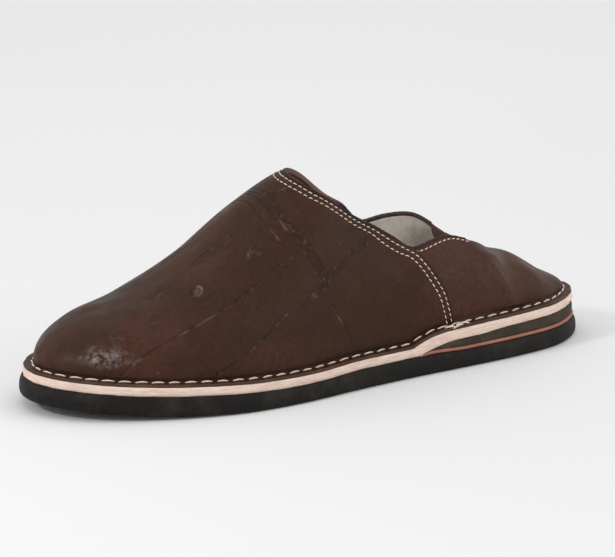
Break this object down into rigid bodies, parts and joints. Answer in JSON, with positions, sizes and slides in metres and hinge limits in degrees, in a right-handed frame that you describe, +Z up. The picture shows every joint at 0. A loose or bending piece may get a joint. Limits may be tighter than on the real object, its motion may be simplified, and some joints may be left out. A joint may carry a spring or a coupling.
{
  "type": "babouche slipper",
  "caption": "Low-backed brown leather slipper for the left foot, with a stitched flange on a pale leather midsole and a black rubber sole.",
  "frame": {"origin": "Bottom centre of the bounding box, on the floor under the middle of the sole.", "axes": "-Y points to the toe and +Y to the heel, +X is the outer side of the left foot, +Z is up."},
  "size_m": [0.1108, 0.304, 0.0991],
  "materials": {
    "black_rubber": "black moulded rubber with a dull sheen",
    "terracotta_line": "thin terracotta line, matt",
    "charcoal_wedge": "charcoal foam rubber, matt",
    "natural_leather": "undyed pinkish leather with a fibrous cut edge",
    "brown_leather": "dark brown waxed leather with reddish patches, soft gloss",
    "binding_leather": "thin turned edge of darker brown leather",
    "sock_leather": "grey suede sock"
  },
  "bodies": {
    "root": {"outsole": "black_rubber", "rand_line": "terracotta_line", "heel_wedge": "charcoal_wedge", "midsole": "natural_leather", "upper": "brown_leather", "vamp_binding": "binding_leather", "quarter_binding": "binding_leather", "insole": "sock_leather"}
  },
  "joints": []
}
